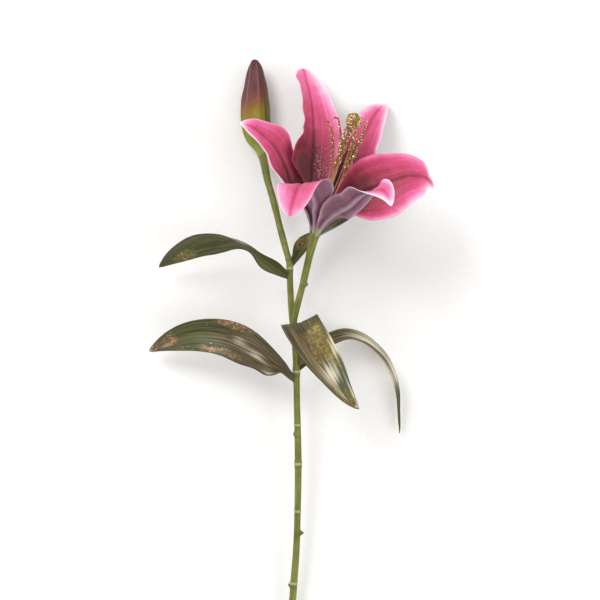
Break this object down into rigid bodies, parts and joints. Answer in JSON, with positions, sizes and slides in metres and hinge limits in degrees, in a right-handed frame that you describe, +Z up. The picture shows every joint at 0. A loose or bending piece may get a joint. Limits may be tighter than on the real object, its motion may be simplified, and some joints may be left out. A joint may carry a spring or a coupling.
{
  "type": "cut lily",
  "caption": "Cut lily stem lying down: an open pink lily with curled tepals and gold stamens, a closed bud and slim leaves on a forked stalk.",
  "frame": {"origin": "centre of the bounding box, on the surface that the lily lies on", "axes": "+Y along the stem towards the bud and flower, +Z up, +X to the right as seen from above with the flower away from the viewer"},
  "size_m": [0.2198, 0.507, 0.1374],
  "materials": {
    "tepal": "soft satin tepal, deep pink with near-white margins, mauve outside",
    "leaf": "dark olive-green leaf, satin, with scattered gold and copper flakes",
    "stem": "olive-green stem, semi-matt",
    "bud": "plum bud fading to yellow-green at its foot, semi-matt, ribbed",
    "stamen": "brown stamens and pistil dusted with coarse gold glitter"
  },
  "bodies": {
    "root": {"tepal_left": "tepal", "tepal_back": "tepal", "tepal_back_right": "tepal", "tepal_right": "tepal", "tepal_front_left": "tepal", "tepal_front_right": "tepal", "leaf_lower_left": "leaf", "leaf_upper_left": "leaf", "leaf_upper_right": "leaf", "leaf_front": "leaf", "leaf_lower_right": "leaf", "main_stem": "stem", "bud_stalk": "stem", "flower_stalk": "stem", "bud": "bud", "pistil": "stamen", "stamen_left": "stamen", "stamen_back_left": "stamen", "stamen_back_right": "stamen", "stamen_right": "stamen", "stamen_front_right": "stamen", "stamen_front_left": "stamen"}
  },
  "joints": []
}
